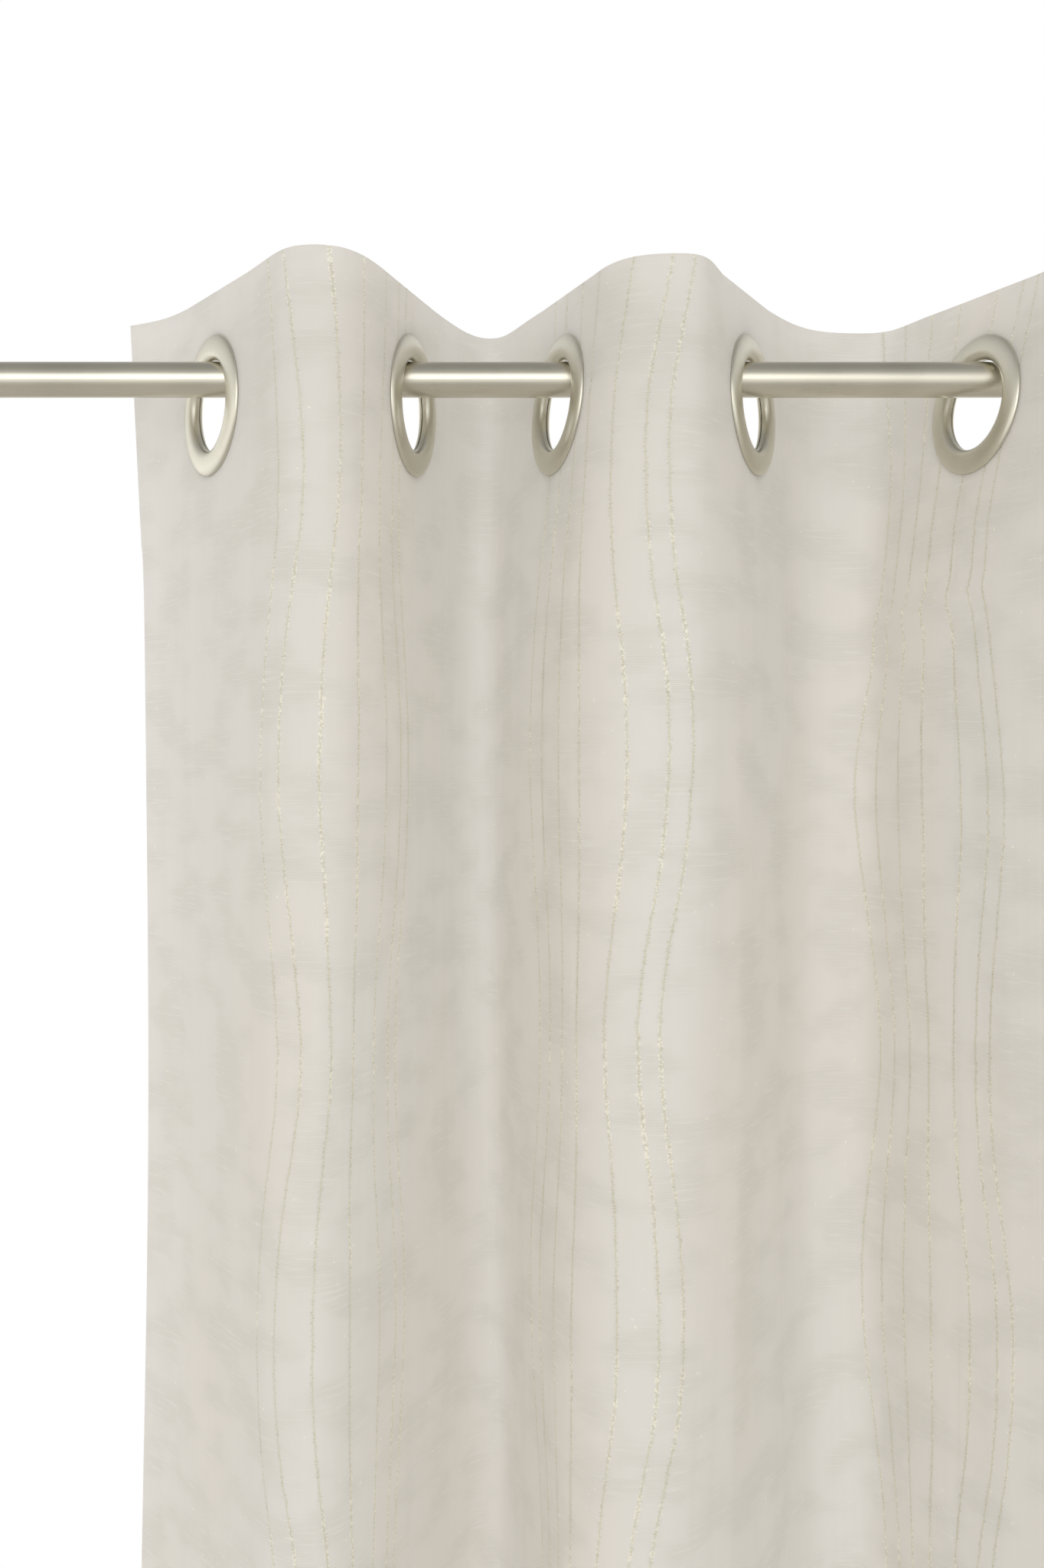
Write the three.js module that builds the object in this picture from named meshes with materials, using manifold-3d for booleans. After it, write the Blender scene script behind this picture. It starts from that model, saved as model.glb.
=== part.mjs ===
// Eyelet curtain on a wall-mounted rod: one panel in standing folds, eight two-part eyelets, a tube rod
// with end knobs, and two brackets. Millimetres. X runs along the rod, +Y goes into the wall, +Z is up.
// The origin is the centre of the left wall plate's back face.
import * as THREE from "three";
import { mergeGeometries, mergeVertices } from "three/addons/utils/BufferGeometryUtils.js";
import Module from "manifold-3d";

const wasm = await Module();
wasm.setup();

// ---- Driving dimensions ----
const GAP = 0.3; // clearance between pieces that touch
const SPAN = 1240; // wall plate to wall plate, centres
const OVERHANG = 80; // rod beyond each wall plate's centre
const PROJECTION = 120; // wall to rod axis
const ROD_D = 16;
const ROD_WALL = 1;
const PLATE_D = 52;
const PLATE_T = 4;
const PLATE_BACK = 1.2; // left solid behind the arm's spigot
const PLATE_HOLE_D = 4.6;
const PLATE_HOLE_PITCH = 34;
const WALL_SCREW_D = 4;
const WALL_SCREW_L = 35; // under the head
const ARM_D = 12;
const SPIGOT_D = 8;
const HOLDER_WALL = 5;
const HOLDER_W = 16;
const SET_SCREW_D = 4;
const KNOB_D = 22;
const KNOB_L = 24;
const PLUG_L = 16;
const CLOTH_T = 2; // the cloth's plain solid, its hems and heading taken together
const DROP = 2450; // top edge to bottom hem
const TOP_ABOVE_EYELET = 51;
const EDGE_REACH = 47; // sideways reach of each side edge beyond its last eyelet
const EDGE_DEPTH = 62; // how far behind the rod axis each side edge hangs
const LEFT_EDGE_LEAN = -0.05; // the free left edge swings out towards its top corner
const BORE_D = 40.6; // eyelet opening
const FLANGE_D = 63; // eyelet across its flange
const DOME = 3.4; // height of the flange's dome over the cloth
const FLAT = 34; // the cloth is flat this far each side of an eyelet's centre
const RUN_ON = 0.62; // how far the cloth carries on straight past that, as a share of the way to the apex
const EDGE_ROUND = 0.35; // how gently it turns outwards at a side edge
const EYELET_SEGMENTS = 24;

// Per eyelet, left to right: distance from the eyelet before it, the cloth's angle to the rod in plan,
// and the sideways lean of the top per millimetre of height.
const EYELETS = [
  { step: 314, angle: 59.5, lean: 0.019 },
  { step: 89, angle: 75.5, lean: -0.003 },
  { step: 67, angle: 71, lean: 0.093 },
  { step: 86, angle: 66, lean: -0.055 },
  { step: 102, angle: 67, lean: 0.13 },
  { step: 85, angle: 70, lean: -0.05 },
  { step: 85, angle: 72, lean: 0.04 },
  { step: 85, angle: 66, lean: -0.03 },
];
// Per fold between two eyelets: where along the gap its apex is, how far it stands off the rod axis, how
// round the apex is, as a share of the way there, and how much it leans, as an eyelet does.
const FOLDS = [
  { share: 0.6, depth: 76, round: 0.25, lean: 0.01 },
  { share: 0.49, depth: 88, round: 0.15, lean: 0.03 },
  { share: 0.55, depth: 63, round: 0.3, lean: 0.04 },
  { share: 0.6, depth: 77, round: 0.34, lean: 0.05 },
  { share: 0.5, depth: 72, round: 0.4, lean: 0.04 },
  { share: 0.48, depth: 78, round: 0.4, lean: -0.005 },
  { share: 0.52, depth: 72, round: 0.4, lean: 0.005 },
];

// ---- Derived dimensions ----
const ROD_R = ROD_D / 2;
const BORE_R = BORE_D / 2;
const FLANGE_R = FLANGE_D / 2;
const ROD_Y = -PROJECTION;
const EYELET_Z = -(BORE_R - ROD_R - 1.5 * GAP); // hangs with the top of its opening on the rod
const TOP_Z = EYELET_Z + TOP_ABOVE_EYELET;
const HEM_Z = TOP_Z - DROP;
const LEAN_REACH = 60; // the lean fades out this far below an eyelet's centre
const LEAN_RISE = DOME; // a leaning eyelet rides higher on the rod by this much per unit of lean
const ROD_L = SPAN + 2 * OVERHANG;

const root = new THREE.Group();
const nickel = () => new THREE.MeshStandardMaterial({ color: 0xc4b9a2, metalness: 0.9, roughness: 0.35 });
const steel = () => new THREE.MeshStandardMaterial({ color: 0x8d8a84, metalness: 0.9, roughness: 0.4 });
const cloth = () => new THREE.MeshStandardMaterial({ color: 0xdad6cb, roughness: 0.9 });

function add(name, geometry, material) {
  const mesh = new THREE.Mesh(geometry, material);
  mesh.name = name;
  root.add(mesh);
}

function solid(geometry) {
  const flat = geometry.index ? geometry.toNonIndexed() : geometry;
  const bare = new THREE.BufferGeometry().setAttribute("position", flat.getAttribute("position"));
  const merged = mergeVertices(bare, 1e-3);
  return new wasm.Manifold(
    new wasm.Mesh({
      numProp: 3,
      vertProperties: new Float32Array(merged.attributes.position.array),
      triVerts: new Uint32Array(merged.index.array),
    }),
  );
}

function geometryOf(body) {
  const m = body.getMesh();
  const g = new THREE.BufferGeometry();
  g.setAttribute("position", new THREE.BufferAttribute(new Float32Array(m.vertProperties), 3));
  g.setIndex(new THREE.BufferAttribute(new Uint32Array(m.triVerts), 1));
  g.computeVertexNormals();
  return g;
}

// A profile of [radius, distance along the axis] points, turned about `axis` through `at`.
// `up` is the direction of the first of the segments. The profile closes itself off the axis.
function turned(profile, segments, at, axis, up) {
  const closed = profile[0][0] > 0 ? [...profile, profile[0]] : profile;
  let twice = 0;
  closed.forEach(([r, a], i) => {
    const [r2, a2] = closed[(i + 1) % closed.length];
    twice += r * a2 - r2 * a;
  });
  const points = (twice > 0 ? closed : [...closed].reverse()).map(([r, a]) => new THREE.Vector2(r, a));
  const y = axis.clone().normalize();
  const z = up.clone().addScaledVector(y, -up.dot(y)).normalize();
  const x = new THREE.Vector3().crossVectors(y, z);
  return new THREE.LatheGeometry(points, segments).applyMatrix4(
    new THREE.Matrix4().makeBasis(x, y, z).setPosition(at),
  );
}

const cylinder = (r, from, to, segments, at, axis, up) =>
  turned([[0, from], [r, from], [r, to], [0, to]], segments, at, axis, up);

const X = new THREE.Vector3(1, 0, 0);
const Y = new THREE.Vector3(0, 1, 0);
const Z = new THREE.Vector3(0, 0, 1);
const point = (x, y, z) => new THREE.Vector3(x, y, z);

// ---- Rod and end knobs ----
const rodMiddle = point(SPAN / 2, ROD_Y, 0);
const tubeR = ROD_R - ROD_WALL;
add(
  "rod_tube",
  turned(
    [[tubeR, -ROD_L / 2], [ROD_R, -ROD_L / 2], [ROD_R, ROD_L / 2], [tubeR, ROD_L / 2]],
    40, rodMiddle, X, Z,
  ),
  nickel(),
);

function knob(name, side) {
  const plugR = tubeR - GAP;
  const k = KNOB_D / 2;
  const profile = [
    [0, -PLUG_L], [plugR, -PLUG_L], [plugR, GAP], [k * 0.86, GAP], [k * 0.86, 3], [k * 0.78, 3.6],
    [k * 0.78, 4.8], [k * 0.96, 5.8], [k, 7.4], [k, KNOB_L - 2.5], [k * 0.93, KNOB_L - 0.8],
    [k * 0.8, KNOB_L], [0, KNOB_L + 0.6],
  ];
  const end = rodMiddle.clone().addScaledVector(X, (side * ROD_L) / 2);
  add(name, turned(profile, 28, end, X.clone().multiplyScalar(side), Z), nickel());
}
knob("end_knob_left", -1);
knob("end_knob_right", 1);

// ---- Brackets ----
function bracket(label, x) {
  const wall = point(x, 0, 0);
  const out = Y.clone().negate();
  const p = PLATE_D / 2;
  let plate = solid(
    turned([[0, 0], [p, 0], [p, PLATE_T - 1.4], [p - 1.2, PLATE_T], [0, PLATE_T]], 36, wall, out, Z),
  );
  const cut = (r, z, from) => {
    plate = plate.subtract(solid(cylinder(r, from, PLATE_T + 1, 20, point(x, 0, z), out, Z)));
  };
  cut(SPIGOT_D / 2 + GAP, 0, PLATE_BACK);
  cut(PLATE_HOLE_D / 2, PLATE_HOLE_PITCH / 2, -1);
  cut(PLATE_HOLE_D / 2, -PLATE_HOLE_PITCH / 2, -1);
  add("wall_plate_" + label, geometryOf(plate), nickel());

  const shank = WALL_SCREW_D / 2;
  [["upper", 1], ["lower", -1]].forEach(([place, side]) => {
    const under = PLATE_T + GAP;
    const tip = under - WALL_SCREW_L;
    add(
      "wall_screw_" + label + "_" + place,
      turned(
        [
          [0, tip], [shank * 0.3, tip], [shank, tip + 5], [shank, under], [shank + 2.1, under],
          [shank + 2.1, under + 0.7], [shank + 1.5, under + 1.9], [shank * 0.8, under + 2.5],
          [0, under + 2.6],
        ],
        16, point(x, 0, (side * PLATE_HOLE_PITCH) / 2), out, Z,
      ),
      steel(),
    );
  });

  const holderR = ROD_R + GAP + HOLDER_WALL;
  const arm = turned(
    [
      [0, PLATE_BACK + GAP], [SPIGOT_D / 2, PLATE_BACK + GAP], [SPIGOT_D / 2, PLATE_T + GAP],
      [ARM_D / 2 + 2, PLATE_T + GAP],
      [ARM_D / 2 + 2, PLATE_T + 3], [ARM_D / 2, PLATE_T + 6], [ARM_D / 2, PROJECTION - ROD_R - 2],
      [0, PROJECTION - ROD_R - 2],
    ],
    24, wall, out, Z,
  );
  const at = point(x, ROD_Y, 0);
  const w = HOLDER_W / 2;
  const holder = turned(
    [[0, -w], [holderR - 0.8, -w], [holderR, -w + 0.8], [holderR, w - 0.8], [holderR - 0.8, w], [0, w]],
    32, at, X, Z,
  );
  const down = Z.clone().negate();
  const screwR = SET_SCREW_D / 2;
  const body = solid(arm)
    .add(solid(holder))
    .subtract(solid(cylinder(ROD_R + GAP, -w - 1, w + 1, 40, at, X, Z)))
    .subtract(solid(cylinder(screwR + GAP, ROD_R, holderR + 2, 16, at, down, X)));
  add("bracket_arm_" + label, geometryOf(body), nickel());
  const head = holderR + GAP;
  add(
    "set_screw_" + label,
    turned(
      [
        [0, ROD_R + GAP], [screwR, ROD_R + GAP], [screwR, head], [screwR + 2, head],
        [screwR + 2, head + 4.4], [screwR + 1.4, head + 5], [0, head + 5],
      ],
      16, at, down, X,
    ),
    steel(),
  );
}
bracket("left", 0);
bracket("right", SPAN);

// ---- Plan of the folds ----
let run = 0;
const eyelets = EYELETS.map(({ step, angle, lean }, i) => {
  run += step;
  const side = i % 2 ? 1 : -1; // the fold on the right of this eyelet is behind (+) or in front (-)
  const a = THREE.MathUtils.degToRad(angle);
  return { x: run, side, lean, dir: new THREE.Vector2(Math.cos(a), side * Math.sin(a)) };
});
const last = eyelets.length - 1;
const apexes = FOLDS.map(({ share, depth, round, lean }, i) => {
  const [a, b] = [eyelets[i], eyelets[i + 1]];
  return { x: a.x + share * (b.x - a.x), y: a.side * depth, lean, round };
});
const leftEdge = {
  x: eyelets[0].x - EDGE_REACH, y: EDGE_DEPTH, lean: LEFT_EDGE_LEAN, round: EDGE_ROUND, edge: true,
};
const rightEdge = {
  x: eyelets[last].x + EDGE_REACH, y: eyelets[last].side * EDGE_DEPTH, lean: eyelets[last].lean,
  round: EDGE_ROUND, edge: true,
};

// Plan points from an eyelet (left out) to the end of its strip on one side: flat under the flange,
// then a curve that meets the apex square to the wall, or runs out straight to the side edge.
function halfPlan(eyelet, way, end) {
  const dir = eyelet.dir.clone().multiplyScalar(way);
  const start = new THREE.Vector2(eyelet.x, 0).addScaledVector(dir, FLAT);
  const stop = new THREE.Vector2(end.x - (end.edge ? 0 : way * GAP * 0.5), end.y);
  const reach = start.distanceTo(stop);
  const outward = end.edge ? new THREE.Vector2(way * 0.8, end.y > 0 ? 0.6 : -0.6) : new THREE.Vector2(way, 0);
  const curve = new THREE.CubicBezierCurve(
    start,
    start.clone().addScaledVector(dir, reach * RUN_ON),
    stop.clone().addScaledVector(outward, -reach * end.round),
    stop,
  );
  const steps = end.edge ? 5 : 9;
  return Array.from({ length: steps + 1 }, (_, j) => {
    const t = j / steps;
    const p = curve.getPoint(t);
    const tangent = (t < 1 ? curve.getTangent(t) : outward.clone()).multiplyScalar(way);
    return { x: p.x, y: p.y, tangent, lean: THREE.MathUtils.lerp(eyelet.lean, end.lean, t) };
  });
}

// ---- Cloth, one strip per eyelet ----
function strip(eyelet, left, right) {
  const middle = { x: eyelet.x, y: 0, tangent: eyelet.dir.clone(), lean: eyelet.lean };
  const plan = [
    ...halfPlan(eyelet, -1, left).reverse(), middle, ...halfPlan(eyelet, 1, right),
  ];
  const rows = [TOP_Z, EYELET_Z - LEAN_REACH, HEM_Z];
  const rings = rows.map((z) => {
    const rise = Math.max(z - EYELET_Z, -LEAN_REACH);
    const side = (s) =>
      plan.map((p) => {
        const n = new THREE.Vector2(-p.tangent.y, p.tangent.x).normalize().multiplyScalar((s * CLOTH_T) / 2);
        return [p.x + n.x + p.lean * rise, ROD_Y + p.y + n.y, z];
      });
    return [...side(1), ...side(-1).reverse()];
  });
  const n = rings[0].length;
  const at = (row, k) => row * n + ((k + n) % n);
  const index = [];
  for (let r = 0; r + 1 < rings.length; r++)
    for (let k = 0; k < n; k++)
      index.push(at(r, k), at(r, k + 1), at(r + 1, k), at(r, k + 1), at(r + 1, k + 1), at(r + 1, k));
  const bottom = rings.length - 1;
  for (let k = 0; k < plan.length - 1; k++) {
    const far = n - 1 - k;
    index.push(at(0, k), at(0, far), at(0, k + 1), at(0, k + 1), at(0, far), at(0, far - 1));
    index.push(at(bottom, k), at(bottom, k + 1), at(bottom, far));
    index.push(at(bottom, k + 1), at(bottom, far - 1), at(bottom, far));
  }
  const g = new THREE.BufferGeometry();
  g.setAttribute("position", new THREE.Float32BufferAttribute(rings.flat(2), 3));
  g.setIndex(index);
  return g;
}

// ---- Eyelets: a front ring whose neck passes through the cloth, and a back ring snapped over the neck ----
const under = CLOTH_T / 2 + GAP;
const neckR = BORE_R + 1.5;
const dome = [
  [FLANGE_R, under], [FLANGE_R, under + 0.18 * DOME], [FLANGE_R - 1.3, under + 0.62 * DOME],
  [FLANGE_R - 3.8, under + 0.93 * DOME], [FLANGE_R - 6.4, under + DOME], [BORE_R + 2.2, under + 0.8 * DOME],
];
const front = [...dome, [BORE_R + 0.6, under + 0.38 * DOME], [BORE_R, 0.4], [BORE_R, -under], [neckR, -under],
  [neckR, under]];
const back = [
  ...dome.map(([r, a]) => [r, -a]), [BORE_R + 0.6, -under - 0.38 * DOME], [BORE_R + 0.2, -under - GAP],
  [neckR + GAP, -under - GAP], [neckR + GAP, -under],
];

eyelets.forEach((eyelet, i) => {
  const label = "" + (i + 1);
  const along = new THREE.Vector3(eyelet.dir.x, eyelet.dir.y, 0);
  const upright = new THREE.Vector3(eyelet.lean, 0, 1).normalize();
  const normal = new THREE.Vector3().crossVectors(along, upright).normalize();
  if (normal.x < 0) normal.negate();
  const facing = normal.clone().multiplyScalar(eyelet.side < 0 ? -1 : 1);
  const centre = point(eyelet.x, ROD_Y, EYELET_Z + Math.abs(eyelet.lean) * LEAN_RISE);
  const hole = cylinder(neckR + GAP, -15, 15, 24, centre, normal, upright);
  const sheet = strip(eyelet, i ? apexes[i - 1] : leftEdge, i < last ? apexes[i] : rightEdge);
  add("cloth_strip_" + label, geometryOf(solid(sheet).subtract(solid(hole))), cloth());
  add("eyelet_" + label + "_front", turned(front, EYELET_SEGMENTS, centre, facing, upright), nickel());
  add("eyelet_" + label + "_back", turned(back, EYELET_SEGMENTS, centre, facing, upright), nickel());
});

export default root;
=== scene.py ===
"""Ivory eyelet curtain on a satin nickel rod: cloth in standing folds, rolled metal eyelets,
rod, end knobs and brackets.

Metres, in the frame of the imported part: X along the rod, +Y into the wall, +Z up.
"""

import bmesh
import bpy
import numpy as np
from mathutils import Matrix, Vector


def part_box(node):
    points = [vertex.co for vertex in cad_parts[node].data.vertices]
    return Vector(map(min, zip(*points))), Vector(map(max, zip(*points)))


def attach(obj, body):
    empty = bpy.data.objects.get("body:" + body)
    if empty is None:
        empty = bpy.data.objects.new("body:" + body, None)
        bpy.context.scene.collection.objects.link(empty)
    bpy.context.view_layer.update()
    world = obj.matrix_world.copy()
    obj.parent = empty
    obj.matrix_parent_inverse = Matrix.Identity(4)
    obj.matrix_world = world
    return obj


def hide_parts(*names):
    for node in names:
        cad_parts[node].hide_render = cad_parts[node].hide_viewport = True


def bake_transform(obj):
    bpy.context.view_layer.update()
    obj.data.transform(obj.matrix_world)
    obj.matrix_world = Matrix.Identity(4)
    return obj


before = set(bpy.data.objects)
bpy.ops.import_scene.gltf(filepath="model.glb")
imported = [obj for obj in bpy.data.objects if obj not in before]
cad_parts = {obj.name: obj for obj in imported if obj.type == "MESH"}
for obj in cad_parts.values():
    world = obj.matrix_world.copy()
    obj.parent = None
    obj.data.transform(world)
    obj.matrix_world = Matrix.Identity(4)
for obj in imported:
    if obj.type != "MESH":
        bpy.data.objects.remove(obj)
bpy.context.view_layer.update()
MM = 0.001

# ---------------------------------------------------------------- the folds, as the part has them
CLOTH_ANGLE = np.radians([59.5, 75.5, 71, 66, 67, 70, 72, 66])  # cloth to rod at each eyelet, in plan
LEAN = np.array([0.019, -0.003, 0.093, -0.055, 0.13, -0.05, 0.04, -0.03])  # sideways per unit of height
FOLD_SHARE = np.array([0.6, 0.49, 0.55, 0.6, 0.5, 0.48, 0.52])  # apex of each fold along its gap
FOLD_DEPTH = np.array([76, 88, 63, 77, 72, 78, 72]) * MM  # apex of each fold off the rod's axis
FOLD_ROUND = [0.25, 0.15, 0.3, 0.34, 0.4, 0.4, 0.4]  # how round each apex is
FOLD_LEAN = [0.01, 0.03, 0.04, 0.05, 0.04, -0.005, 0.005]  # and how much it leans
RUN_ON, EDGE_ROUND = 0.62, 0.35  # straight past the flange, and the turn at a side edge
FLAT = 34 * MM  # flat cloth each side of an eyelet's centre
EDGE_REACH, EDGE_DEPTH = 47 * MM, 62 * MM
LEFT_EDGE_LEAN = -0.05  # the free left edge swings out towards its top corner
LEAN_REACH = 60 * MM  # below this the lean of an eyelet fades out
LEAN_FADE = 20 * MM
HEADING = 108 * MM  # turned and stiffened top
BOTTOM_HEM = 90 * MM
SIDE_HEM = 22 * MM
COUNT = len(CLOTH_ANGLE)


def box_of(*nodes):
    """Lowest and highest corner of several nodes together."""
    boxes = np.array([[list(c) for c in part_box(n)] for n in nodes])
    return boxes[:, 0].min(0), boxes[:, 1].max(0)


rod_lo, rod_hi = box_of("rod_tube")
ROD_R = (rod_hi[2] - rod_lo[2]) / 2
ROD_Y = (rod_lo[1] + rod_hi[1]) / 2
cloth_lo, cloth_hi = box_of(*[f"cloth_strip_{i + 1}" for i in range(COUNT)])
TOP_Z, DROP = cloth_hi[2], cloth_hi[2] - cloth_lo[2]
rings = [box_of(f"eyelet_{i + 1}_front", f"eyelet_{i + 1}_back") for i in range(COUNT)]
EYELET_X = np.array([(lo[0] + hi[0]) / 2 for lo, hi in rings])
EYELET_Z = np.array([(lo[2] + hi[2]) / 2 for lo, hi in rings])
FLANGE_R = max((hi[2] - lo[2]) / 2 for lo, hi in rings)
FLANGE_MM, BORE_MM = 31.5, 20.3  # radii that the ring profiles below are drawn to
BORE_R = FLANGE_R * BORE_MM / FLANGE_MM
CUT_PAST_BORE = 3.5 * MM  # the cloth is cut back this far outside the bore
SIDE = np.where(np.arange(COUNT) % 2 == 0, -1.0, 1.0)
ACROSS = np.stack([np.cos(CLOTH_ANGLE), SIDE * np.sin(CLOTH_ANGLE)], 1)


def half_fold(i, way, end, roundness, at_edge=False):
    """Plan of the cloth from eyelet i to a fold's apex or a side edge:
    straight under the flange, then a cubic."""
    heading = ACROSS[i] * way
    start = np.array([EYELET_X[i], 0]) + heading * FLAT
    reach = np.linalg.norm(end - start)
    out = np.array([way * 0.8, 0.6]) if at_edge else np.array([way, 0.0])
    t = np.linspace(0, 1, 80)[:, None]
    a, b = start + heading * reach * RUN_ON, end - out * reach * roundness
    cubic = (1 - t) ** 3 * start + 3 * (1 - t) ** 2 * t * a + 3 * (1 - t) * t * t * b + t**3 * end
    line = np.array([EYELET_X[i], 0]) + np.linspace(0, 1, 30, endpoint=False)[:, None] * heading * FLAT
    return np.vstack([line, cubic])


def whole_plan():
    """The panel's plan at its heading, left edge to right edge,
    and each eyelet's and apex's place along it."""
    runs, marks, tips, length = [], [], [], 0.0

    def take(run):
        nonlocal length
        runs.append(run)
        length += np.linalg.norm(np.diff(run, axis=0), axis=1).sum()

    take(half_fold(0, -1, np.array([EYELET_X[0] - EDGE_REACH, EDGE_DEPTH]), EDGE_ROUND, True)[::-1])
    for i in range(COUNT - 1):
        marks.append(length)
        across = EYELET_X[i] + FOLD_SHARE[i] * (EYELET_X[i + 1] - EYELET_X[i])
        apex = np.array([across, SIDE[i] * FOLD_DEPTH[i]])
        take(half_fold(i, 1, apex, FOLD_ROUND[i]))
        tips.append(length)
        take(half_fold(i + 1, -1, apex, FOLD_ROUND[i])[::-1])
    marks.append(length)
    right_edge = np.array([EYELET_X[-1] + EDGE_REACH, SIDE[-1] * EDGE_DEPTH])
    take(half_fold(COUNT - 1, 1, right_edge, EDGE_ROUND, True))
    path = np.vstack(runs)
    keep = np.r_[True, np.linalg.norm(np.diff(path, axis=0), axis=1) > 1e-7]
    path = path[keep]
    along = np.r_[0, np.cumsum(np.linalg.norm(np.diff(path, axis=0), axis=1))]
    return along, path, np.array(marks), np.array(tips)


ALONG, PLAN, MARK, TIP = whole_plan()
WIDTH = ALONG[-1]
STEP = 1 * MM
GRID_U = np.arange(-80, int(WIDTH / STEP) + 81) * STEP


def extended(values):
    """Plan coordinate on an even grid, carried on in a straight line past both side edges."""
    inside = np.interp(GRID_U, ALONG, values)
    left = (values[5] - values[0]) / (ALONG[5] - ALONG[0])
    right = (values[-1] - values[-6]) / (ALONG[-1] - ALONG[-6])
    inside = np.where(GRID_U < 0, values[0] + left * GRID_U, inside)
    return np.where(GRID_U > WIDTH, values[-1] + right * (GRID_U - WIDTH), inside)


def softened(values, spread):
    """The plan coordinate averaged over a bell curve of the given spread along the cloth."""
    k = np.arange(-60, 61) * STEP
    bell = np.exp(-0.5 * (k / spread) ** 2)
    return np.convolve(np.pad(values, 60, mode="reflect", reflect_type="odd"), bell / bell.sum(), "valid")


SPREADS = np.array([1.5, 6.0, 11.0, 16.0]) * MM
SOFT_X = np.stack([softened(extended(PLAN[:, 0]), s) for s in SPREADS])
SOFT_Y = np.stack([softened(extended(PLAN[:, 1]), s) for s in SPREADS])
lean_at = np.r_[0, MARK - FLAT, MARK + FLAT, TIP]
lean_of = np.r_[LEFT_EDGE_LEAN, LEAN, LEAN, FOLD_LEAN][np.argsort(lean_at)]
lean_at = np.sort(lean_at)
# how soft the folds are down the drop: a place in SPREADS at each height
SOFT_AT = [0, 76 * MM, 125 * MM, 220 * MM, 0.42, 1.2, DROP]
SOFT_LEVEL = [0, 0, 1.4, 2.1, 2.5, 2.8, 3]
# soft creases left by folding: from (u, v) to (u, v) in the flat cloth, half width, height; millimetres
CREASES = ((712, 152, 868, 131, 7, 3.0), (640, 205, 735, 178, 8, 1.6), (36, 300, 150, 268, 9, 0.8),
           (300, 395, 430, 372, 10, 0.8), (930, 240, 1060, 262, 9, 0.9), (1180, 180, 1300, 150, 8, 0.8),
           (90, 760, 300, 735, 12, 1.0), (520, 690, 760, 712, 12, 0.9), (880, 820, 1120, 800, 12, 1.0))


def smooth01(t):
    t = np.clip(t, 0, 1)
    return t * t * (3 - 2 * t)


def middle_surface(u, v):
    """Middle of the cloth at u along its width and v down its drop. The plan is softened further down,
    each eyelet's lean shears its part of the heading, and slow sideways waves make every fold
    wander a little."""
    level = np.interp(v, SOFT_AT, SOFT_LEVEL)
    low = np.clip(level.astype(int), 0, len(SPREADS) - 2)
    part = level - low
    place = (u - GRID_U[0]) / STEP
    cell = np.clip(place.astype(int), 0, len(GRID_U) - 2)
    f = place - cell

    def read(table):
        a = table[low, cell] * (1 - f) + table[low, cell + 1] * f
        b = table[low + 1, cell] * (1 - f) + table[low + 1, cell + 1] * f
        return a * (1 - part) + b * part

    x, y = read(SOFT_X), read(SOFT_Y)
    rise = TOP_Z - v - EYELET_Z.mean()
    faded = -LEAN_REACH - LEAN_FADE * (1 - np.exp((rise + LEAN_REACH) / LEAN_FADE))
    rise = np.where(rise > -LEAN_REACH, rise, faded)
    x = x + np.interp(u, lean_at, lean_of) * rise
    free = smooth01((v - HEADING) / 0.5)
    x = x + free * 0.0035 * np.sin(2 * np.pi * (u / 0.43 + v / 1.9) + 0.7)
    x = x + free * 0.0025 * np.sin(2 * np.pi * (u / 0.27 - v / 1.1) + 2.1)
    y = y + free * 0.0040 * np.sin(2 * np.pi * (u / 0.37 + v / 1.5) + 1.3)
    y = y + smooth01((v - HEADING) / 0.1) * 0.0006 * np.sin(2 * np.pi * (u / 0.041 + 0.25 * np.sin(v / 0.35)))
    return np.stack([x, ROD_Y + y, TOP_Z - v], -1)


def crease_height(u, v):
    """Height of the soft creases: each is a low bell-shaped ridge along a straight line,
    fading at both its ends."""
    height = np.zeros_like(u)
    for u0, v0, u1, v1, half, rise in np.array(CREASES) * MM:
        length = np.hypot(u1 - u0, v1 - v0)
        along = ((u - u0) * (u1 - u0) + (v - v0) * (v1 - v0)) / length**2
        across = ((u - u0) * (v1 - v0) - (v - v0) * (u1 - u0)) / length
        height += rise * np.exp(-((across / half) ** 2)) * smooth01(np.minimum(along, 1 - along) / 0.3)
    return height


def thickness(u, v):
    """Doubled cloth at the heading and hems, single between, with a groove along each row of stitches."""
    t = 0.55 * MM + 0.85 * MM * (1 - smooth01((v - HEADING + 1 * MM) / (2.5 * MM)))
    bottom = smooth01((v - DROP + BOTTOM_HEM) / (2.5 * MM))
    edge = np.minimum(u, WIDTH - u)
    side = 1 - smooth01((edge - SIDE_HEM) / (2.5 * MM))
    t = t + 0.6 * MM * np.maximum(bottom, side)
    groove = np.exp(-(((v - HEADING + 6 * MM) / (1.2 * MM)) ** 2))
    groove = groove + np.exp(-(((v - DROP + BOTTOM_HEM - 4 * MM) / (1.2 * MM)) ** 2))
    groove = groove + np.exp(-(((edge - SIDE_HEM + 4 * MM) / (1.2 * MM)) ** 2))
    return t - 0.5 * MM * np.clip(groove, 0, 1)


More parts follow.
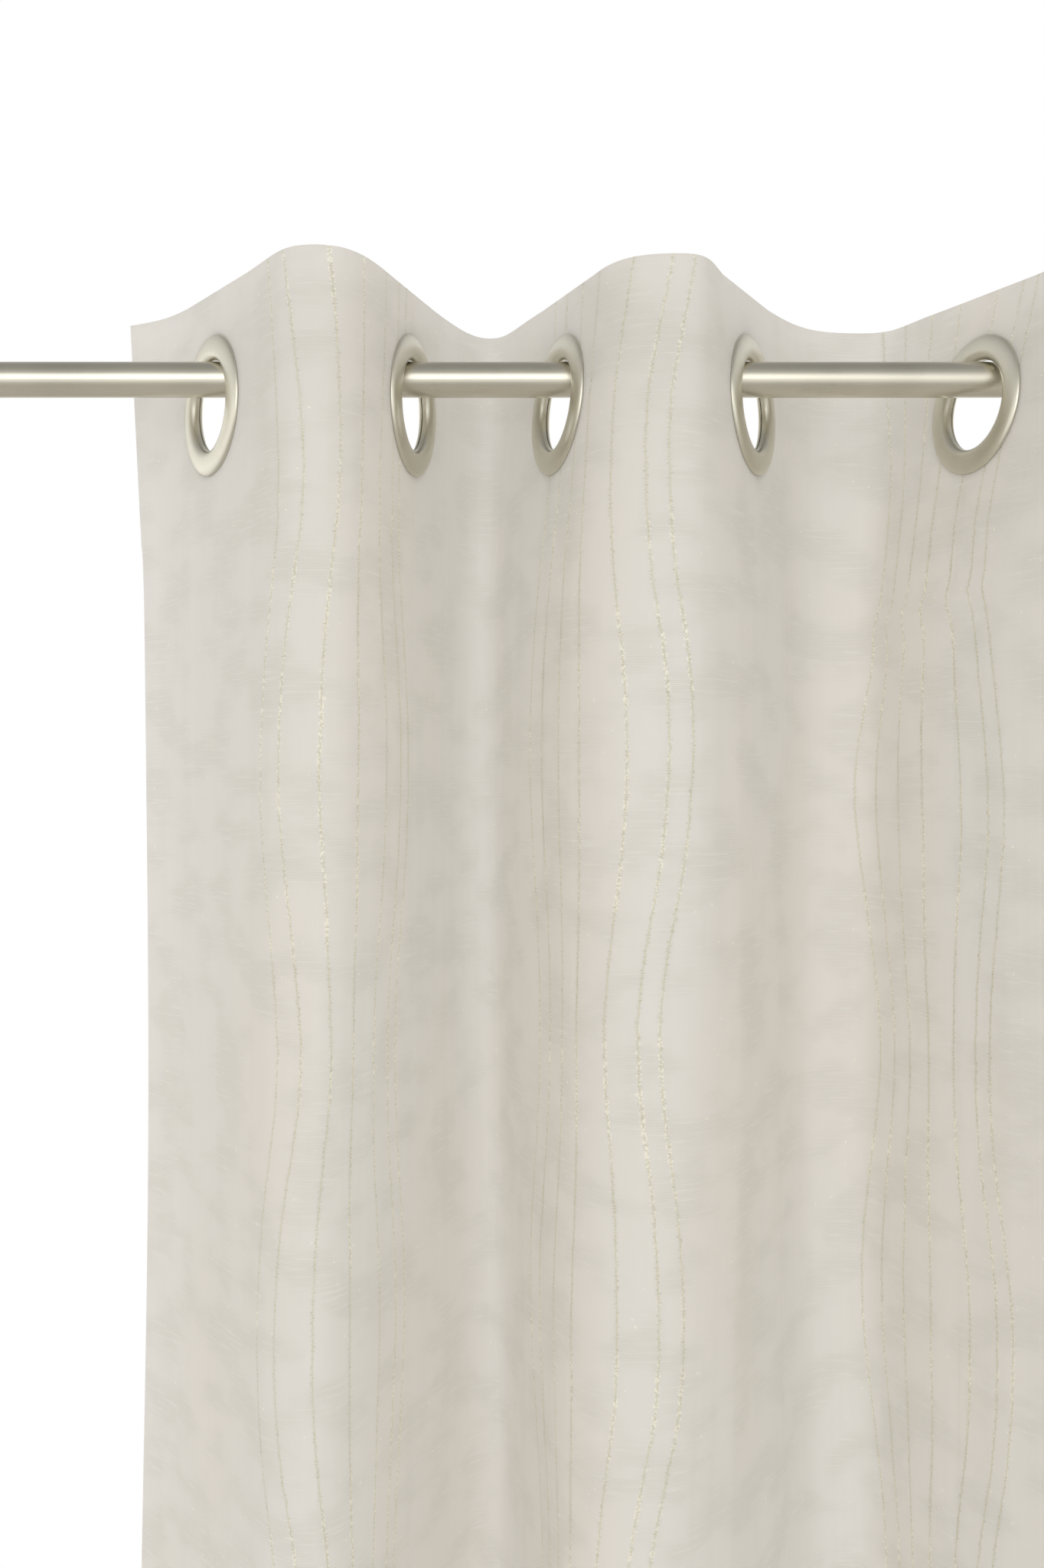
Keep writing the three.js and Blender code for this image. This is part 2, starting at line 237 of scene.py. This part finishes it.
def cloth_faces(u_from, u_to, columns, hem_left, hem_right):
    """Both faces of one width of cloth: the middle surface moved half a thickness each way along its
    own normal, joined all round, and opened at each eyelet."""
    fine = np.arange(0, HEADING + 14 * MM, 2.8 * MM)
    hem_rows = [BOTTOM_HEM + 3 * MM, BOTTOM_HEM, BOTTOM_HEM - 3 * MM, BOTTOM_HEM - 6 * MM, 2 * MM, 0]
    tail = DROP - np.array(hem_rows)
    upper, lower = np.arange(fine[-1] + 5 * MM, 0.5, 5 * MM), np.arange(0.5, DROP, 10 * MM)
    v = np.unique(np.r_[fine, upper, lower, tail])
    u = np.linspace(u_from, u_to, columns)
    if hem_left:
        u = np.unique(np.r_[u, SIDE_HEM - 4 * MM, SIDE_HEM, SIDE_HEM + 2.5 * MM])
    if hem_right:
        u = np.unique(np.r_[u, WIDTH - SIDE_HEM + 4 * MM, WIDTH - SIDE_HEM, WIDTH - SIDE_HEM - 2.5 * MM])
    U, V = np.meshgrid(u, v, indexing="ij")
    d = 0.8 * MM
    middle = middle_surface(U, V)
    across = middle_surface(U + d, V) - middle_surface(U - d, V)
    down = middle_surface(U, V + d) - middle_surface(U, V - d)
    normal = np.cross(down, across)
    normal /= np.linalg.norm(normal, axis=-1, keepdims=True)
    middle = middle + normal * crease_height(U, V)[..., None]
    half = thickness(U, V)[..., None] / 2
    nu, nv = U.shape
    points = np.stack([middle + normal * half, middle - normal * half]).reshape(-1, 3)
    flat_uv = np.tile(np.stack([U, V], -1).reshape(-1, 2), (2, 1))
    index = np.arange(nu * nv).reshape(nu, nv)
    a, b, c, e = index[:-1, :-1], index[:-1, 1:], index[1:, 1:], index[1:, :-1]
    mid_u, mid_v = (U[:-1, :-1] + U[1:, 1:]) / 2, (V[:-1, :-1] + V[1:, 1:]) / 2
    away = np.min(np.hypot(mid_u[..., None] - MARK, mid_v[..., None] - (TOP_Z - EYELET_Z)), -1)
    keep = (away > BORE_R + CUT_PAST_BORE).ravel()
    front = np.stack([a, b, c, e], -1).reshape(-1, 4)[keep]
    back = front[:, ::-1] + nu * nv
    far = nu * nv

    def rim(line, flip):
        quads = np.stack([line[:-1], line[1:], line[1:] + far, line[:-1] + far], -1)
        gap = np.min(np.hypot(flat_uv[quads][..., 0].mean(1)[:, None] - MARK,
                              flat_uv[quads][..., 1].mean(1)[:, None] - (TOP_Z - EYELET_Z)), -1)
        quads = quads[gap > BORE_R + CUT_PAST_BORE]
        return quads[:, ::-1] if flip else quads

    sides = [rim(index[:, 0], False), rim(index[:, -1], True), rim(index[0], True), rim(index[-1], False)]
    return points, np.concatenate([front, back, *sides]), flat_uv


def mesh_object(name, points, faces, uv=None, sharp=40):
    """A smooth-shaded mesh from point and face arrays, with a UV per point where one is given."""
    mesh = bpy.data.meshes.new(name)
    mesh.from_pydata(points.tolist(), [], faces.tolist())
    if uv is not None:
        layer = mesh.uv_layers.new(name="flat_cloth")
        corner = np.empty(len(mesh.loops), np.int32)
        mesh.loops.foreach_get("vertex_index", corner)
        layer.data.foreach_set("uv", uv[corner].astype(np.float32).ravel())
    mesh.polygons.foreach_set("use_smooth", np.ones(len(mesh.polygons), bool))
    mesh.set_sharp_from_angle(angle=np.radians(sharp))
    mesh.update()
    obj = bpy.data.objects.new(name, mesh)
    bpy.context.scene.collection.objects.link(obj)
    return obj


def turned(name, profile, at, axis, up, segments=96, closed=True, sharp=40):
    """A profile of [radius, distance along the axis] turned about the axis; poles and seam are welded."""
    axis = np.array(axis, float) / np.linalg.norm(axis)
    e1 = np.array(up, float) - axis * np.dot(up, axis)
    e1 /= np.linalg.norm(e1)
    e2 = np.cross(axis, e1)
    turn = np.linspace(0, 2 * np.pi, segments, endpoint=False)
    r, a = np.array(profile, float).T
    points = (np.array(at) + a[:, None, None] * axis
              + r[:, None, None] * (np.cos(turn)[None, :, None] * e1 + np.sin(turn)[None, :, None] * e2))
    n = len(r)
    row, col = np.meshgrid(np.arange(n if closed else n - 1), np.arange(segments), indexing="ij")
    up_row, next_col = (row + 1) % n, (col + 1) % segments
    quads = np.stack([row * segments + col, row * segments + next_col,
                      up_row * segments + next_col, up_row * segments + col], -1).reshape(-1, 4)
    obj = mesh_object(name, points.reshape(-1, 3), quads, sharp=sharp)
    work = bmesh.new()
    work.from_mesh(obj.data)
    bmesh.ops.remove_doubles(work, verts=work.verts, dist=1e-7)
    bmesh.ops.dissolve_degenerate(work, edges=work.edges, dist=1e-7)
    bmesh.ops.recalc_face_normals(work, faces=work.faces)
    work.to_mesh(obj.data)
    work.free()
    return obj


def rounded(points, per):
    """A smooth closed curve through the points: each stretch is a Catmull-Rom cubic in per steps."""
    p = np.array(points, float)
    q = np.vstack([p[-1], p, p[0], p[1]])
    p0, p1, p2, p3 = q[:-3, None], q[1:-2, None], q[2:-1, None], q[3:, None]
    t = np.linspace(0, 1, per, endpoint=False)[None, :, None]
    return 0.5 * (2 * p1 + (p2 - p0) * t + (2 * p0 - 5 * p1 + 4 * p2 - p3) * t**2
                  + (3 * p1 - p0 - 3 * p2 + p3) * t**3).reshape(-1, 2)


# ---------------------------------------------------------------- finishes
class Nodes:
    """Short hand for the node tree of a material or of the world."""

    def __init__(self, owner):
        owner.use_nodes = True
        self.owner = owner
        self.tree = owner.node_tree
        self.shader = self.tree.nodes.get("Principled BSDF")

    def put(self, kind, values=(), **settings):
        node = self.tree.nodes.new(kind)
        for key, value in settings.items():
            setattr(node, key, value)
        for key, value in dict(values).items():
            self.feed(node.inputs[key], value)
        return node

    def feed(self, socket, value):
        if isinstance(value, bpy.types.NodeSocket):
            self.tree.links.new(value, socket)
        else:
            socket.default_value = value

    def calc(self, operation, *values, clamp=False):
        node = self.tree.nodes.new("ShaderNodeMath")
        node.operation, node.use_clamp = operation, clamp
        for socket, value in zip(node.inputs, values):
            self.feed(socket, value)
        return node.outputs[0]

    def ramp(self, value, low, high, out_low=0.0, out_high=1.0):
        node = self.put("ShaderNodeMapRange", interpolation_type="SMOOTHSTEP")
        for socket, v in zip(node.inputs, (value, low, high, out_low, out_high)):
            self.feed(socket, v)
        return node.outputs[0]

    def mix(self, factor, a, b, blend="MIX"):
        node = self.put("ShaderNodeMix", data_type="RGBA", blend_type=blend)
        self.feed(node.inputs[0], factor)
        self.feed(node.inputs[6], a)
        self.feed(node.inputs[7], b)
        return node.outputs[2]

    def noise(self, vector, scale, detail=2.0, rough=0.5):
        return self.put("ShaderNodeTexNoise", {"Vector": vector, "Scale": scale, "Detail": detail,
                                               "Roughness": rough}).outputs["Fac"]

    def stretched(self, vector, scale):
        return self.put("ShaderNodeMapping", {"Vector": vector, "Scale": scale}).outputs[0]

    def bump(self, height, distance, strength):
        values = {"Height": height, "Distance": distance, "Strength": strength}
        return self.put("ShaderNodeBump", values).outputs[0]


IVORY_LIGHT = (0.875, 0.866, 0.845, 1)
IVORY_SHADE = (0.84, 0.832, 0.81, 1)
IVORY_BLUSH = (0.865, 0.835, 0.80, 1)
# colour of the painted shade in the furrows between the crosswise ribs
PAINTED_FURROW_SHADE = (0.70, 0.69, 0.64, 1)
# colour of the painted highlight on the raised crosswise slubs
PAINTED_SLUB_HIGHLIGHT = (0.92, 0.915, 0.90, 1)
FLOAT_SHADE = (0.58, 0.57, 0.43, 1)
THREAD_GOLD = (0.70, 0.685, 0.51, 1)
GLINT_LIGHT = (1.0, 0.985, 0.90, 1)
STITCH_LIGHT = (0.86, 0.85, 0.80, 1)
THROUGH = 0.6  # share of the light that passes the cloth
PASSING_GAIN = (1.13, 1.13, 1.135, 1)  # and how much paler than the cloth's face it comes out
RIB_PITCH, WARP_PITCH = 0.00084, 0.00062
STITCH_PITCH = 0.0031
THREAD_GROUP = 0.296  # metres of cloth from one group of threads to the next
THREAD_START = 0.052
THREAD_WAVE, THREAD_BULGE = 0.245, 0.215  # length of a group's wave, and where its first bulge is
THREAD_MIDDLE = (-0.052, -0.037, -0.018, 0.0, 0.023, 0.040, 0.050)
THREAD_SWING = (-0.0085, -0.0075, -0.004, 0.0, 0.005, 0.0065, 0.007)


def ivory_cloth():
    """Plain ivory weave: crosswise ribs that come and go, with painted shade in their furrows and painted
    highlights on raised slubs, lengthwise streaks, and groups of seven wavy gold threads with painted glints."""
    n = Nodes(bpy.data.materials.new("ivory_ribbed_cloth"))
    uv = n.put("ShaderNodeUVMap", uv_map="flat_cloth").outputs[0]
    part = n.put("ShaderNodeSeparateXYZ", {"Vector": uv})
    u, v = part.outputs[0], part.outputs[1]
    calc = n.calc

    # groups of threads, repeated across the width
    shifted = calc("SUBTRACT", u, THREAD_START)
    group = calc("FLOOR", calc("DIVIDE", shifted, THREAD_GROUP))
    within = calc("SUBTRACT", shifted, calc("MULTIPLY", group, THREAD_GROUP))
    within = calc("SUBTRACT", within, THREAD_GROUP / 2)
    phase = calc("MULTIPLY", calc("SINE", calc("MULTIPLY", group, 2.4)), 0.3)
    turn = calc("ADD", calc("MULTIPLY", calc("SUBTRACT", v, THREAD_BULGE), 2 * np.pi / THREAD_WAVE), phase)
    swing = calc("COSINE", turn)
    slow = n.noise(n.stretched(uv, (3.0, 7.0, 1.0)), 1.0, 1.0)
    fine = n.noise(n.stretched(uv, (20.0, 60.0, 1.0)), 1.0, 2.0)
    within = calc("ADD", within, calc("MULTIPLY", calc("SUBTRACT", slow, 0.5), 0.012))
    within = calc("ADD", within, calc("MULTIPLY", calc("SUBTRACT", fine, 0.5), 0.0012))
    nearest = None
    for middle, reach in zip(THREAD_MIDDLE, THREAD_SWING):
        strayed = calc("SUBTRACT", calc("SUBTRACT", within, middle), calc("MULTIPLY", swing, reach))
        gap = calc("ABSOLUTE", strayed)
        nearest = gap if nearest is None else calc("MINIMUM", nearest, gap)
    core = n.ramp(nearest, 0.0002, 0.0007, 1.0, 0.0)
    beside = n.ramp(nearest, 0.0008, 0.0017, 1.0, 0.0)
    loops = n.noise(n.stretched(uv, (520.0, 1500.0, 1.0)), 1.0, 1.0)
    floats = calc("MULTIPLY", n.ramp(loops, 0.56, 0.66), beside)
    grains = n.stretched(uv, (1250.0, 1250.0, 1.0))
    cells = n.put("ShaderNodeTexVoronoi", {"Vector": grains, "Scale": 1.0})
    spark = n.put("ShaderNodeSeparateColor", {"Color": cells.outputs["Color"]}).outputs[0]
    lively = n.ramp(n.noise(n.stretched(uv, (9.0, 16.0, 1.0)), 1.0, 2.0), 0.40, 0.62)
    on_thread = calc("MULTIPLY", n.ramp(spark, 0.74, 0.78), n.ramp(nearest, 0.0008, 0.0016, 1.0, 0.0))
    glint = calc("MAXIMUM", calc("MULTIPLY", on_thread, lively), n.ramp(spark, 0.9992, 0.9996))

    # weave
    rib = calc("SINE", calc("MULTIPLY", v, 2 * np.pi / RIB_PITCH))
    warp = calc("SINE", calc("MULTIPLY", u, 2 * np.pi / WARP_PITCH))
    patch = n.ramp(n.noise(n.stretched(uv, (24.0, 42.0, 1.0)), 1.0, 2.0), 0.42, 0.62)
    slub = n.noise(n.stretched(uv, (45.0, 800.0, 1.0)), 1.0, 2.0)
    streak = n.noise(n.stretched(uv, (150.0, 1.7, 1.0)), 1.0, 2.0, 0.6)
    broad = n.noise(n.stretched(uv, (7.0, 2.2, 1.0)), 1.0, 2.0)

    tone = n.mix(streak, IVORY_SHADE, IVORY_LIGHT)
    tone = n.mix(n.ramp(broad, 0.35, 0.65, 0.0, 0.5), tone, IVORY_BLUSH)
    # painted highlight: the base colour is made paler on the raised crosswise slubs
    slub_painted_highlight = calc("MULTIPLY", n.ramp(slub, 0.5, 0.75), calc("MULTIPLY", patch, 0.8))
    tone = n.mix(slub_painted_highlight, tone, PAINTED_SLUB_HIGHLIGHT)
    # painted shade: the base colour is darkened in the furrows between the crosswise ribs
    tone = n.mix(calc("MULTIPLY", n.ramp(rib, -1.0, 0.6, 0.36, 0.0), patch), tone, PAINTED_FURROW_SHADE)
    tone = n.mix(calc("MULTIPLY", floats, 0.5), tone, FLOAT_SHADE)
    tone = n.mix(calc("MULTIPLY", core, 0.36), tone, THREAD_GOLD)
    tone = n.mix(glint, tone, GLINT_LIGHT)

    # rows of stitches in matching thread
    edge = calc("MINIMUM", u, calc("SUBTRACT", float(WIDTH), u))

    def stitch_row(distance, along):
        line = n.ramp(calc("ABSOLUTE", distance), 0.0002, 0.0005, 1.0, 0.0)
        dash = n.ramp(calc("FRACT", calc("DIVIDE", along, STITCH_PITCH)), 0.68, 0.8, 1.0, 0.0)
        return calc("MULTIPLY", line, dash)

    stitches = stitch_row(calc("SUBTRACT", v, HEADING - 6 * MM), u)
    hem_line = calc("SUBTRACT", v, float(DROP - BOTTOM_HEM + 4 * MM))
    stitches = calc("MAXIMUM", stitches, stitch_row(hem_line, u))
    side_line = calc("SUBTRACT", edge, SIDE_HEM - 4 * MM)
    stitches = calc("MAXIMUM", stitches, stitch_row(side_line, v))
    tone = n.mix(calc("MULTIPLY", stitches, 0.3), tone, STITCH_LIGHT)

    n.feed(n.shader.inputs["Base Color"], tone)
    shiny = calc("MAXIMUM", calc("MULTIPLY", core, 0.5), glint)
    n.feed(n.shader.inputs["Metallic"], calc("MULTIPLY", shiny, 0.5))
    n.feed(n.shader.inputs["Roughness"], calc("SUBTRACT", 0.85, calc("MULTIPLY", shiny, 0.4)))
    n.shader.inputs["Sheen Weight"].default_value = 0.10
    n.shader.inputs["Sheen Roughness"].default_value = 0.5
    n.shader.inputs["Specular IOR Level"].default_value = 0.2
    ribbed = calc("MULTIPLY", rib, calc("MULTIPLY_ADD", patch, 0.45, 0.1))
    weave = calc("ADD", ribbed, calc("MULTIPLY", warp, 0.15))
    weave = calc("ADD", weave, calc("MULTIPLY", slub, 0.7))
    raised = calc("ADD", calc("MULTIPLY", core, 0.9), calc("MULTIPLY", floats, 0.8))
    raised = calc("ADD", raised, calc("MULTIPLY", stitches, 1.6))
    n.feed(n.shader.inputs["Normal"], n.bump(calc("ADD", weave, raised), 0.00009, 0.6))
    passing = n.mix(1.0, tone, PASSING_GAIN, "MULTIPLY")  # thin cloth: daylight comes through it
    through = n.put("ShaderNodeBsdfTranslucent", {"Color": passing})
    both = n.put("ShaderNodeMixShader", {0: THROUGH, 1: n.shader.outputs[0], 2: through.outputs[0]})
    n.tree.links.new(both.outputs[0], n.tree.nodes["Material Output"].inputs[0])
    return n.owner


def satin_nickel(name, grain_scale, tone_a, tone_b, roughness, grain):
    """Warm satin plating: fine turning marks, slow cloudiness and a few thin rubbed scratches."""
    n = Nodes(bpy.data.materials.new(name))
    where = n.put("ShaderNodeTexCoord").outputs["Object"]
    marks = n.noise(n.stretched(where, grain_scale), 1.0, 3.0, 0.6)
    cloud = n.noise(where, 30.0, 3.0)
    scratch = n.ramp(n.noise(n.stretched(where, (48.0, 1300.0, 1300.0)), 1.0, 1.0), 0.72, 0.78)
    tone = n.mix(n.ramp(cloud, 0.3, 0.7), tone_a, tone_b)
    tone = n.mix(n.calc("MULTIPLY", scratch, 0.3), tone, (0.82, 0.78, 0.70, 1))
    n.feed(n.shader.inputs["Base Color"], tone)
    n.shader.inputs["Metallic"].default_value = 1.0
    rough = n.calc("ADD", roughness, n.calc("MULTIPLY", n.calc("SUBTRACT", cloud, 0.5), 0.10))
    rough = n.calc("ADD", rough, n.calc("MULTIPLY", n.calc("SUBTRACT", marks, 0.5), 0.08))
    n.feed(n.shader.inputs["Roughness"], rough)
    height = n.calc("SUBTRACT", marks, n.calc("MULTIPLY", scratch, 0.8))
    n.feed(n.shader.inputs["Normal"], n.bump(height, 0.00002, grain))
    return n.owner


cloth_finish = ivory_cloth()
ALONG_ROD = (25.0, 1400.0, 1400.0)
rod_finish = satin_nickel("satin_nickel_rod", ALONG_ROD, (0.60, 0.575, 0.49, 1),
                          (0.66, 0.63, 0.54, 1), 0.29, 0.35)
ring_finish = satin_nickel("satin_nickel_eyelet", (300.0, 300.0, 300.0), (0.62, 0.60, 0.505, 1),
                           (0.69, 0.665, 0.57, 1), 0.32, 0.08)
screw_finish = satin_nickel("plain_steel_screw", (500.0, 500.0, 500.0), (0.40, 0.39, 0.37, 1),
                            (0.46, 0.45, 0.43, 1), 0.38, 0.3)


def dress(obj, finish, slot, body, *nodes):
    """Gives a piece its finish, seats it on a body and lets it stand for its CAD nodes; slot is not used."""
    obj.data.materials.append(finish)
    if body:
        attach(obj, body)
    if nodes:
        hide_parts(*nodes)
    return obj


# ---------------------------------------------------------------- the cloth, one width between two eyelets
widths = [("cloth_left_edge", 0.0, MARK[0], 26, True, False)]
widths += [(f"cloth_fold_{i + 1}", MARK[i], MARK[i + 1], 62, False, False) for i in range(COUNT - 1)]
widths += [("cloth_right_edge", MARK[-1], WIDTH, 26, False, True)]
for place, (name, start, stop, columns, left, right) in enumerate(widths):
    points, faces, uv = cloth_faces(start, stop, columns, left, right)
    piece = mesh_object(name, points, faces, uv, sharp=50)
    if left:
        dress(piece, cloth_finish, "cloth", "eyelet_1", "cloth_strip_1")
    elif right:
        dress(piece, cloth_finish, "cloth", f"eyelet_{COUNT}", f"cloth_strip_{COUNT}")
    else:
        dress(piece, cloth_finish, "cloth", None, f"cloth_strip_{place}", f"cloth_strip_{place + 1}")
        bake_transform(piece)

# ---------------------------------------------------------------- eyelets
UNDER = 0.8  # millimetres from the cloth's middle to the flange
RING_FRONT = [(31.2, UNDER), (31.5, UNDER + 0.4), (31.2, 1.8), (30.2, 2.45), (28.6, 3.0), (26.7, 3.35),
              (24.8, 3.5), (23.1, 3.4), (21.8, 2.9), (20.9, 2.1), (20.4, 1.1), (20.3, 0.2), (20.3, -0.7),
              (20.35, -1.0), (21.2, -1.1), (21.7, -0.9), (21.8, 0.0), (22.0, UNDER),
              (25.0, UNDER), (28.5, UNDER)]
RING_BACK = [(31.2, -UNDER), (28.5, -UNDER), (25.0, -UNDER), (22.2, -UNDER), (22.0, -1.2), (21.6, -1.4),
             (20.9, -1.4), (20.5, -1.6), (20.7, -2.3), (21.6, -3.0), (23.1, -3.4), (24.8, -3.5),
             (26.7, -3.35), (28.6, -3.0), (30.2, -2.45), (31.2, -1.8), (31.5, -UNDER - 0.4)]
for i in range(COUNT):
    along = np.array([*ACROSS[i], 0.0])
    upright = np.array([LEAN[i], 0, 1.0])
    upright /= np.linalg.norm(upright)
    facing = np.cross(along, upright)
    facing *= -np.sign(facing[0]) if SIDE[i] < 0 else np.sign(facing[0])
    centre = np.array([EYELET_X[i], ROD_Y, EYELET_Z[i]])
    scale = FLANGE_R / FLANGE_MM
    for face, profile in (("front", RING_FRONT), ("back", RING_BACK)):
        outline = rounded(profile, 4) * scale
        ring = turned(f"ring_{i + 1}_{face}", outline, centre, facing, upright, 96, sharp=60)
        dress(ring, ring_finish, "nickel", f"eyelet_{i + 1}", f"eyelet_{i + 1}_{face}")

# ---------------------------------------------------------------- rod, knobs and brackets
rod_mid = [(rod_lo[0] + rod_hi[0]) / 2, ROD_Y, (rod_lo[2] + rod_hi[2]) / 2]
rod_half = (rod_hi[0] - rod_lo[0]) / 2
inner = ROD_R - 1 * MM
stations = np.linspace(-rod_half, rod_half, 57)
outside = [(ROD_R, a) for a in stations[1:-1]]
tube = ([(inner, -rod_half), (ROD_R - 0.3 * MM, -rod_half), (ROD_R, -rod_half + 0.3 * MM)] + outside
        + [(ROD_R, rod_half - 0.3 * MM), (ROD_R - 0.3 * MM, rod_half), (inner, rod_half)])
rod = turned("curtain_rod", tube, rod_mid, (1, 0, 0), (0, 0, 1), 96)
dress(rod, rod_finish, "nickel", "rail", "rod_tube")

KNOB = [(0, -16), (6.7, -16), (6.7, 0.3), (9.0, 0.3), (9.45, 0.7), (9.45, 2.6), (9.1, 3.2), (8.6, 3.6),
        (8.5, 4.2), (8.7, 4.8), (9.6, 5.2), (10.5, 5.8), (10.9, 6.6), (11, 7.6), (11, 14), (11, 21.2),
        (10.85, 22.2), (10.4, 23.1), (9.6, 23.8), (8.4, 24.2), (5, 24.5), (0, 24.6)]
for side, sign in (("left", -1), ("right", 1)):
    end = [rod_mid[0] + sign * rod_half, ROD_Y, rod_mid[2]]
    outline = np.array(KNOB) * MM
    cap = turned(f"knob_{side}", outline, end, (sign, 0, 0), (0, 0, 1), 96, closed=False, sharp=30)
    dress(cap, ring_finish, "nickel", "rail", f"end_knob_{side}")


def eased(node, width):
    """A CAD node's own shape with its doubles merged, smooth round its turns and eased along its edges."""
    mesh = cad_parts[node].data.copy()
    mesh.materials.clear()
    obj = bpy.data.objects.new(node + "_eased", mesh)
    bpy.context.scene.collection.objects.link(obj)
    work = bmesh.new()
    work.from_mesh(mesh)
    bmesh.ops.remove_doubles(work, verts=work.verts, dist=1e-6)
    bmesh.ops.dissolve_limit(work, angle_limit=np.radians(2), verts=work.verts, edges=work.edges)
    work.to_mesh(mesh)
    work.free()
    mesh.polygons.foreach_set("use_smooth", np.ones(len(mesh.polygons), bool))
    mesh.set_sharp_from_angle(angle=np.radians(35))
    bevel = obj.modifiers.new("eased_edges", "BEVEL")
    bevel.width, bevel.segments, bevel.limit_method, bevel.angle_limit = width, 2, "ANGLE", np.radians(35)
    bevel.harden_normals = False
    return obj


for side in ("left", "right"):
    for node, finish, slot, ease in (
        (f"wall_plate_{side}", ring_finish, "nickel", 0.3 * MM),
        (f"bracket_arm_{side}", ring_finish, "nickel", 0.3 * MM),
        (f"set_screw_{side}", screw_finish, "screw_steel", 0.15 * MM),
        (f"wall_screw_{side}_upper", screw_finish, "screw_steel", 0.1 * MM),
        (f"wall_screw_{side}_lower", screw_finish, "screw_steel", 0.1 * MM),
    ):
        dress(eased(node, ease), finish, slot, "rail", node)

# ---------------------------------------------------------------- floor, light and camera
floor_mesh = bpy.data.meshes.new("pale_floor")
FLOOR_REACH, FLOOR_GAP = 4.2, 0.02
floor_z = float(cloth_lo[2]) - FLOOR_GAP
mx, my = float(rod_mid[0]), float(ROD_Y)
corners = ((-1, -1), (1, -1), (1, 1), (-1, 1))
floor_corners = [(mx + a * FLOOR_REACH, my + b * FLOOR_REACH, floor_z) for a, b in corners]
floor_mesh.from_pydata(floor_corners, [], [(0, 1, 2, 3)])
floor = bpy.data.objects.new("pale_floor", floor_mesh)
bpy.context.scene.collection.objects.link(floor)
pale = Nodes(bpy.data.materials.new("pale_floor"))
pale.shader.inputs["Base Color"].default_value = (0.93, 0.89, 0.84, 1)
pale.shader.inputs["Roughness"].default_value = 0.9
floor_mesh.materials.append(pale.owner)

# a white room: bright all round at eye level, dimmer overhead and underfoot, and plain white where it is seen
DIM, BRIGHT = 0.37, 1.01
room = Nodes(bpy.data.worlds.new("white_room"))
bpy.context.scene.world = room.owner
direction = room.put("ShaderNodeTexCoord").outputs["Generated"]
slope = room.calc("ABSOLUTE", room.put("ShaderNodeSeparateXYZ", {"Vector": direction}).outputs[2])
level = room.calc("POWER", room.calc("SUBTRACT", 1.0, slope, clamp=True), 1.5)
glow = room.tree.nodes["Background"]
room.feed(glow.inputs[0], (1.0, 0.99, 0.965, 1))
room.feed(glow.inputs[1], room.calc("MULTIPLY_ADD", level, BRIGHT, DIM))
plain = room.put("ShaderNodeBackground", {"Color": (1, 1, 1, 1), "Strength": 1.0})
seen = room.put("ShaderNodeLightPath").outputs["Is Camera Ray"]
pick = room.put("ShaderNodeMixShader", {0: seen, 1: glow.outputs[0], 2: plain.outputs[0]})
room.tree.links.new(pick.outputs[0], room.tree.nodes["World Output"].inputs[0])


def soft_light(name, place, aim, size_x, size_y, power, colour):
    data = bpy.data.lights.new(name, "AREA")
    data.shape, data.size, data.size_y, data.energy, data.color = "RECTANGLE", size_x, size_y, power, colour
    lamp = bpy.data.objects.new(name, data)
    bpy.context.scene.collection.objects.link(lamp)
    lamp.location = place
    lamp.rotation_euler = (Vector(aim) - Vector(place)).to_track_quat("-Z", "Y").to_euler()


EYE_X, EYE_Z, EYE_BACK = float(EYELET_X[2]) - 0.017, -0.182, 0.85
eye = (EYE_X, my - EYE_BACK, EYE_Z)
soft_light("front_box", (EYE_X - 0.3, my - 1.8, 0.35), (EYE_X, my, -0.15), 1.5, 1.0, 5.5, (0.97, 0.99, 1.0))

camera = bpy.data.cameras.new("eye_level")
camera.sensor_width, camera.lens = 36.0, 43.33
camera.clip_start, camera.clip_end = 0.01, 50
viewer = bpy.data.objects.new("eye_level", camera)
viewer.location = eye
viewer.rotation_euler = (np.pi / 2, 0, 0)
bpy.context.scene.collection.objects.link(viewer)
bpy.context.scene.camera = viewer
bpy.context.scene.view_settings.view_transform = "Standard"
